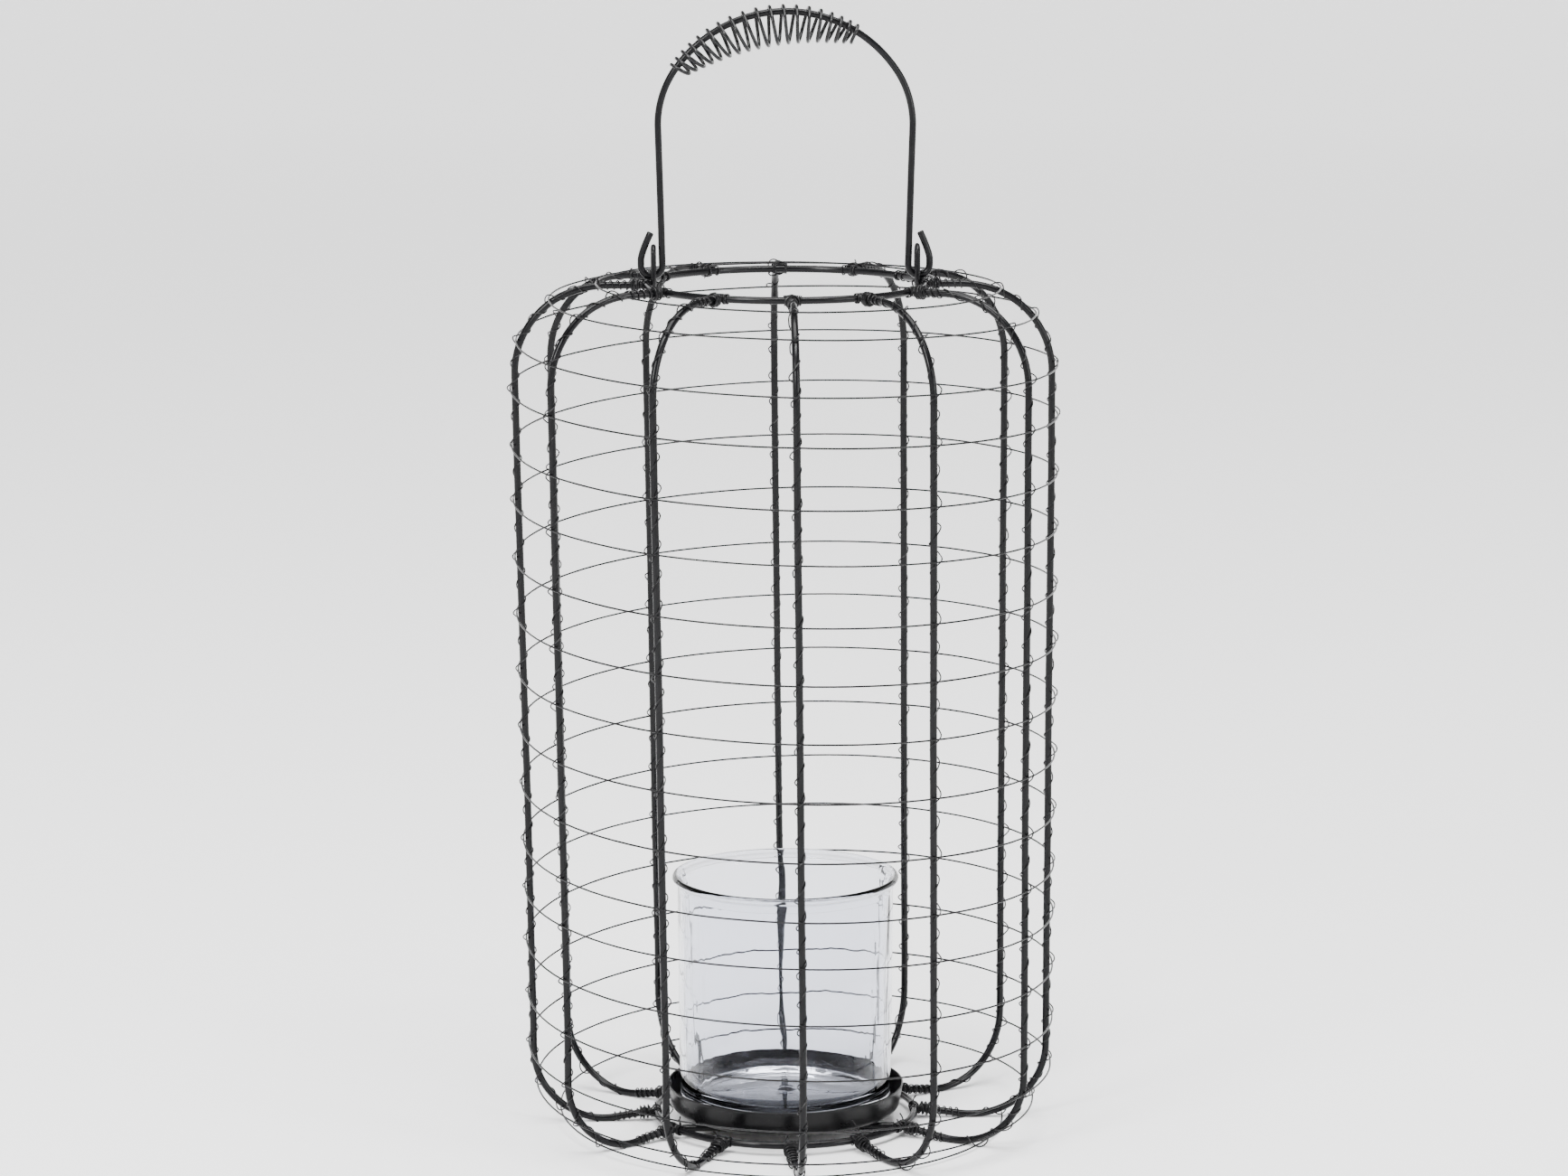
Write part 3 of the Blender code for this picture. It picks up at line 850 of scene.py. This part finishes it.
def windingSlack(start, turns, chance):
    # how far each half turn's side stands off, and each front strand
    p = binding
    flat, shoulder, side = spiralParts()
    sides = []
    for half in range(2 * turns + 1):
        size = p["looseSlack"] if chance.random() < p["looseShare"] else p["sideSlack"]
        if start < flat + shoulder * 0.8 and chance.random() < p["shoulderShare"]:
            size = p["shoulderSlack"]
        sides.append(chance.uniform(*size))
    return sides, [chance.uniform(*p["frontSlack"]) for turn in range(turns + 1)]


def bindingPath(azimuth, chance):
    # the wire that is knotted to the top ring and winds down a rib over the spiral
    p = binding
    top = bindingClose + p["ringGap"]
    knot = p["knotTurns"] * p["knotPitch"]
    bottom = spiralEnd() + p["pastSpiral"]
    crowdEnd = p["crowdEnd"] * chance.uniform(0.8, 1.2)
    crossings = crossingLengths(azimuth)
    first, last = top + knot + p["keepKnot"], bottom - p["keepEnd"]
    bound = [length for length in crossings if first < length < last]
    marks = [top + knot, *sorted([*bound, crowdEnd]), bottom]

    path = ringKnot(topRing, azimuth, chance)
    outward = Vector((math.cos(azimuth), math.sin(azimuth), 0))
    tail = outward * chance.uniform(-0.9, 0.9)
    rise = chance.choice((-1, -1, 1))
    # where the handle lies at its limits, the tails all point down
    tail.z = -1 if abs(math.cos(azimuth)) > p["handleSide"] else rise
    path = cutTail(path[0], tail, chance.uniform(*p["tail"]), chance)[::-1] + path
    layers = [
        (0.0, knot, p["knotTurns"], 0.0),
        (knot, p["overStart"], p["overTurns"], p["wire"]),
        (p["overStart"], knot, p["overTurns"], p["wire"] * p["overLift"]),
    ]
    angle = 0.0
    for start, end, turns, lift in layers:
        total = turns * p["steps"]
        for step in range(total + 1):
            place = top + start + (end - start) * step / total
            away = bindingClose + lift + p["wobble"] * chance.random()
            path.append(ribSpot(azimuth, place, angle, away))
            angle -= fullTurn / p["steps"]
        angle += fullTurn / p["steps"]

    lastBow = 0.0
    for start, end in zip(marks, marks[1:]):
        turns = max(1, round((end - start) / p["crowdPitch" if end <= crowdEnd else "pitch"]))
        total = turns * p["steps"]
        sides, fronts = windingSlack(start, turns, chance)
        if start in crossings:
            fronts[0] = lastBow
        if end in crossings:
            lastBow = fronts[-1] = chance.uniform(*p["overSpiral"])
        for step in range(1, total + 1):
            theta = fullTurn * step / p["steps"]
            around = -(theta - p["linger"] * math.sin(theta))
            sideways = math.sin(around) ** 2 * sides[int(theta / math.pi + 1e-6)]
            ahead = max(0.0, math.cos(around)) ** 2 * fronts[round(theta / fullTurn)]
            length = start + (end - start) * step / total
            path.append(ribSpot(azimuth, length, around, bindingClose + sideways + ahead))
    return path


def lowBinding(azimuth, chance):
    # uneven turns up a rib's foot, a knot in two layers at its end, and a knot on the bottom ring
    p = binding
    outline = [Vector((r * math.cos(azimuth), r * math.sin(azimuth), z)) for r, z in ribOutline()]
    lower, end = outline[-3], outline[-1]
    along = (end - lower).normalized()
    sideways = Vector((-math.sin(azimuth), math.cos(azimuth), 0))
    below = along.cross(sideways)
    if below.z > 0:
        below = -below
    length = (end - lower).length - p["footGap"]
    knotStart = length - p["knotTurns"] * p["knotPitch"]
    overStart = knotStart - p["footOver"]
    layers = [
        (0.0, knotStart, p["lowTurns"], 0.0, p["lowSlack"]),
        (knotStart, length, p["knotTurns"], 0.0, (0.0, 0.0004)),
        (length, overStart, p["overTurns"], p["wire"], (0.0, 0.0008)),
        (overStart, length, p["overTurns"], p["wire"] * p["footLift"], (0.0, 0.0008)),
    ]
    path = []
    angle = 0.0
    for start, stop, turns, lift, slack in layers:
        total = turns * p["steps"]
        bulges = [chance.uniform(*slack) for half in range(2 * turns + 1)]
        for step in range(total + 1):
            bulge = bulges[2 * step // p["steps"]] * abs(math.sin(fullTurn * step / p["steps"])) ** 2
            spot = lower + along * (start + (stop - start) * step / total)
            facing = below * math.cos(angle) + sideways * math.sin(angle)
            path.append(spot + facing * (bindingClose + lift + bulge))
            angle -= fullTurn / p["steps"]
        angle += fullTurn / p["steps"]
    path += ringKnot(bottomRing, azimuth, chance)
    upward = Vector((0, 0, 1)) + sideways * chance.uniform(-0.6, 0.6)
    return path + cutTail(path[-1], upward, chance.uniform(*p["tail"]), chance)


def makeBinding():
    chance = random.Random(binding["seed"])
    paths = [bindingPath(azimuth, chance) + lowBinding(azimuth, chance) for azimuth in ribAzimuths]
    runs = [(path, False, None) for path in paths]
    piece = makeWire("bindingWires", runs, bindingRadius, binding["sides"], thinWireLacquer)
    settle(piece)
    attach(piece, "cage")
    print("binding wires:", len(piece.data.polygons), "faces")


makeBinding()

ties = {
    "turns": 3,
    "pitch": 0.0007,
    "nearPitch": 0.0003,
    "jitter": 0.0005,
    "steps": 6,
    "seed": 8,
    "clear": 0.0005,
    "overGap": 0.0006,
    "underGap": 0.0003,
    "tail": (0.004, 0.008),
    "barTail": 0.6,         # a bar's tail, as a share of an eyelet's
}


def eyeletTie(node, chance):
    # crossing turns that go through an eyelet and round the top ring on either side of its rib
    p = ties
    low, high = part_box(node)
    side = 1 if middle(node).x > 0 else -1
    away = bindingRadius + p["clear"]
    inner = min(abs(low.x), abs(high.x)) - away
    outer = topRing["radius"] + bindingClose + p["clear"]
    over, under = topRing["z"] + bindingClose + p["overGap"], topRing["z"] - bindingClose - p["underGap"]
    through = low.z + (high.x - low.x) + away
    beside = frameRadius + bindingRadius
    points = []
    for turn in range(2 * p["turns"]):
        hand = 1 if turn % 2 else -1
        aside = hand * (beside + p["pitch"] * (turn // 2 + 1))
        near = hand * p["nearPitch"] * (turn // 2)
        loop = [
            (inner, near, through),
            (inner - 0.0002, near, topRing["z"]),
            (inner + 0.0014, near, under - 0.0002),
            (topRing["radius"], aside, under),
            (outer, aside, topRing["z"]),
            (topRing["radius"], aside, over),
            ((inner + topRing["radius"]) / 2, aside / 2, max(over, through)),
        ]
        for x, y, z in loop:
            shake = Vector([chance.uniform(-1, 1) * p["jitter"] * share for share in (0.3, 0.5, 0.3)])
            points.append(Vector((side * x, y, z)) + shake)
    path = smoothPath(points, p["steps"])
    tail = Vector((side * 0.5, chance.uniform(-0.8, 0.8), 0.8))
    return path + cutTail(path[-1], tail, chance.uniform(*p["tail"]), chance)


def barTie(azimuth, chance):
    # turns on the bottom ring on both sides of a dish bar's end
    path = ringKnot(bottomRing, azimuth, chance)
    length = chance.uniform(*ties["tail"]) * ties["barTail"]
    return path + cutTail(path[-1], Vector((0, 0, 1)), length, chance)


def makeTies():
    chance = random.Random(ties["seed"])
    runs = [(eyeletTie(node, chance), False, None) for node in ("eyelet_left", "eyelet_right")]
    for node in bars["nodes"].values():
        low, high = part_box(node)
        for end in (low.x, high.x):
            runs.append((barTie(math.atan2(middle(node).y, end), chance), False, None))
    piece = makeWire("tieWires", runs, bindingRadius, binding["sides"], thinWireLacquer)
    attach(piece, "cage")


makeTies()
print("binding and ties are wound")

handle = {
    "wire": span("bail_handle").y,
    "archSweep": 55,
    "archExtra": 0.0038,
    "spread": 0.0022,
    "hookBend": 0.0060,
    "hookStrand": 0.0200,
    "hookLean": 0.0053,
    "leanFrom": 0.2,        # the share of a hook's strand that stays upright
    "leanCurve": 1.3,
    "archSteps": 33,
    "shoulderSteps": 22,
    "legSteps": 12,
    "hookSteps": 24,
    "strandSteps": 10,
    "tipFlat": 0.3,         # how domed the hooks' cut tips are, from 0, flat, to 1, round
    "sides": 18,
    "sway": 0.0003,
    "swayScale": 14.0,
}
joints = {joint["name"]: joint for joint in frame["joints"]}
hingeZ = joints["handle_swing"]["pos_m"][2]
archZ = joints["grip_slide"]["pos_m"][2]
handleRadius = handle["wire"] / 2
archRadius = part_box("bail_handle")[1].z - handleRadius - archZ


def handleHalf():
    # half of the handle's wire centre as (x, z), from the top of the arch to a hook's tip
    p = handle
    halfWidth = archRadius - p["archExtra"]
    hookX = halfWidth - p["spread"] + p["hookBend"]
    sweep = math.radians(p["archSweep"])
    bend = (halfWidth - archRadius * math.sin(sweep)) / (1 - math.sin(sweep))
    shoulder = (halfWidth - bend, archZ + (archRadius - bend) * math.cos(sweep))
    hook = (hookX, hingeZ + p["hookBend"])
    points = arc((0.0, archZ), archRadius, 90, 90 - p["archSweep"], p["archSteps"])
    points += arc(shoulder, bend, 90 - p["archSweep"], 0, p["shoulderSteps"])[1:]
    low = (hookX - p["hookBend"], hook[1])
    points += between(points[-1], low, p["legSteps"])
    points += arc(hook, p["hookBend"], 180, 360, p["hookSteps"])
    for step in range(1, p["strandSteps"] + 1):
        part = step / p["strandSteps"]
        leaning = max(0.0, part - p["leanFrom"]) ** p["leanCurve"]
        lean = p["hookLean"] * leaning / (1 - p["leanFrom"]) ** p["leanCurve"]
        points.append((hookX + p["hookBend"] - lean, hook[1] + (p["hookStrand"] - handleRadius) * part))
    return points


def makeHandle():
    half = handleHalf()
    outline = [(-x, z) for x, z in reversed(half[1:])] + half
    p = handle
    run = domed([Vector((x, 0, z)) for x, z in outline], handleRadius, p["tipFlat"])
    piece = makeWire("bailHandle", [run], handleRadius, p["sides"], frameLacquer, p["sway"], p["swayScale"])
    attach(piece, "handle")
    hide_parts("bail_handle")


makeHandle()

grip = {
    "wire": 0.0020,
    "length": 0.1135,
    "turns": 18.5,
    "middle": 0.0236,
    "end": 0.0120,
    "endPitch": 0.53,
    "hug": 0.6,             # how much less a turn advances on the handle than below it
    "gap": 0.0003,
    "steps": 40,
    "sides": 12,
}


def makeGrip():
    p = grip
    wireRadius = p["wire"] / 2
    sweep = p["length"] / archRadius
    start = -math.radians(handle["archSweep"]) + wireRadius / archRadius
    evened = p["endPitch"] + (1 - p["endPitch"]) * 2 / math.pi
    steps = round(p["turns"] * p["steps"])
    path = []
    for step in range(steps + 1):
        part = step / steps
        turn = fullTurn * p["turns"] * part
        reach = part - p["hug"] * math.sin(turn) / (fullTurn * p["turns"])
        along = p["endPitch"] * reach + (1 - p["endPitch"]) * (1 - math.cos(math.pi * reach)) / math.pi
        angle = start + sweep * along / evened
        coil = (p["end"] + (p["middle"] - p["end"]) * math.sin(math.pi * part)) / 2 - wireRadius
        hang = coil - wireRadius - handleRadius - p["gap"]
        out = archRadius - hang + coil * math.cos(turn)
        path.append(Vector((out * math.sin(angle), -coil * math.sin(turn), archZ + out * math.cos(angle))))
    piece = makeWire("gripCoil", [domed(path, wireRadius)], wireRadius, p["sides"], gripLacquer)
    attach(piece, "grip")
    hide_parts("grip_coil")


makeGrip()
print("handle and grip are bent")

eyelets = {
    "nodes": {"eyeletLeft": "eyelet_left", "eyeletRight": "eyelet_right"},
    "sides": 14,
    "bendSteps": 20,
    "runSteps": 6,
}


def makeEyelets():
    p = eyelets
    for name, node in p["nodes"].items():
        low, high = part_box(node)
        radius = (high.x - low.x) / 2
        half = (high.y - low.y) / 2 - radius
        x = middle(node).x
        top, bottom = high.z - radius - half, low.z + radius + half
        loop = arc((0.0, top), half, 0, 180, p["bendSteps"])
        loop += between((-half, top), (-half, bottom), p["runSteps"])
        loop += arc((0.0, bottom), half, 180, 360, p["bendSteps"])
        loop += between((half, bottom), (half, top), p["runSteps"])
        path = [Vector((x, across, height)) for across, height in loop]
        piece = makeWire(name, [(path, True, None)], radius, p["sides"], frameLacquer)
        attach(piece, "cage")
        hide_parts(node)


makeEyelets()


dish = {
    "sheet": 0.0010,
    "corner": 0.0035,
    "flare": 0.0020,
    "wave": 0.00012,
    "liftScale": 22,
    "outScale": 18,
    "steps": 160,
    "swageRadius": 0.052,
    "swageWidth": 0.0035,
    "swageHeight": 0.0004,
}


def makeDish():
    p = dish
    low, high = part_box("candle_dish")
    rim = high.x
    floorRadius = rim - p["flare"]
    bend = (floorRadius - p["corner"], low.z + p["corner"])
    outline = [(0.0, low.z + p["sheet"])]
    outline += [(x, low.z + p["sheet"]) for x in (0.02, 0.04)]
    for step in range(9):
        part = step / 8
        rise = p["swageHeight"] * math.sin(math.pi * part)
        outline.append((p["swageRadius"] + p["swageWidth"] * (part - 0.5), low.z + p["sheet"] - rise))
    outline += arc(bend, p["corner"] - p["sheet"], -90, 0, 10)
    lip = p["sheet"] / 2
    wallTop = (rim - p["sheet"], high.z - lip)
    outline += between(outline[-1], wallTop, 6)
    outline += arc((rim - lip, high.z - lip), lip, 180, 0, 8)
    outline += between(outline[-1], (floorRadius, bend[1]), 6)
    outline += arc(bend, p["corner"], 0, -90, 12)
    outline += [(0.04, low.z), (0.02, low.z), (0.0, low.z)]

    def wave(spot, radius):
        lift = noise.noise(spot * p["liftScale"]) * p["wave"]
        out = noise.noise(spot * p["outScale"] + Vector((7, 3, 1))) * p["wave"]
        flatness = clamped((spot.z - low.z - p["sheet"] * 1.2) / 0.004)
        return Vector((spot.x, spot.y, 0)).normalized() * out * flatness + Vector((0, 0, lift * flatness))

    piece = turned("candleDish", outline, p["steps"], dishEnamel, wave)
    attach(piece, "cage")
    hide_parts("candle_dish")


makeDish()

cup = {
    "baseRadius": 0.0605,
    "flare": 0.0012,
    "wall": 0.0036,
    "base": 0.0085,
    "bead": 0.0019,
    "baseBend": 0.004,
    "floorBend": 0.010,
    "punt": 0.0008,         # how far the floor swells towards its middle
    "puntRadius": 0.045,
    "mark": 0.0006,         # the mould's mark in the middle of the floor
    "hollow": 0.0024,       # how far the foot is hollowed
    "hollowRadius": 0.049,
    "steps": 192,
    "wallSteps": 36,
    "waveIn": 0.00042,
    "waveOut": 0.00022,
    "waveScale": (34, 9),   # across and up
    "waveFrom": 0.05,       # the floor and the hollow foot have no waves
    "insideBy": 0.0012,
    "still": 0.004,         # nor have the ends of the wall
    "fade": 0.01,
}


def makeCup():
    p = cup
    low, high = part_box("glass_cup")
    floorZ = low.z + p["base"]
    topOutside = p["baseRadius"] + p["flare"]
    bead = (topOutside + p["bead"] - p["wall"] / 5, high.z - p["bead"])
    neckZ = bead[1] - 2 * p["bead"]
    floorBend = (p["baseRadius"] - p["wall"] - p["floorBend"], floorZ + p["floorBend"])
    baseBend = (p["baseRadius"] - p["baseBend"], low.z + p["baseBend"])

    outline = [(0.0, floorZ + p["punt"] + p["mark"]), (0.0030, floorZ + p["punt"] + p["mark"] * 0.8)]
    puntRadii = (0.0045, 0.008, 0.014, 0.020, 0.026, 0.032, 0.038)
    outline += [(x, floorZ + p["punt"] * (1 - x / p["puntRadius"]) ** 2) for x in puntRadii]
    outline += arc(floorBend, p["floorBend"], -90, 0, 14)
    inside = (topOutside - p["wall"], neckZ)
    outline += [*between(outline[-1], inside, p["wallSteps"]), inside]
    outline += arc(bead, p["bead"], 180, -45, 16)
    neck, foot = (topOutside, neckZ), (p["baseRadius"], baseBend[1])
    outline += [neck, *between(neck, foot, p["wallSteps"]), foot]
    outline += arc(baseBend, p["baseBend"], 0, -90, 10)[1:]
    for step in range(13):
        part = 1 - step / 12
        outline.append((p["hollowRadius"] * part, low.z + p["hollow"] * (1 - part * part)))

    def wave(spot, radius):
        if radius < p["waveFrom"]:
            return Vector((0, 0, 0))
        flare = p["flare"] * (spot.z - low.z) / (high.z - low.z)
        onInside = radius < p["baseRadius"] - p["insideBy"] + flare
        size = p["waveIn"] if onInside else p["waveOut"]
        across, up = p["waveScale"]
        stretched = Vector((spot.x * across, spot.y * across, spot.z * up + (5 if onInside else 0)))
        fade = clamped((high.z - p["still"] - spot.z) / p["fade"])
        fade *= clamped((spot.z - low.z - p["still"]) / p["fade"])
        return Vector((spot.x, spot.y, 0)).normalized() * noise.noise(stretched) * size * fade

    piece = turned("glassCup", outline, p["steps"], glassFinish, wave)
    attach(piece, "glass")
    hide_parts("glass_cup")


makeCup()
print("dish and glass cup are turned")
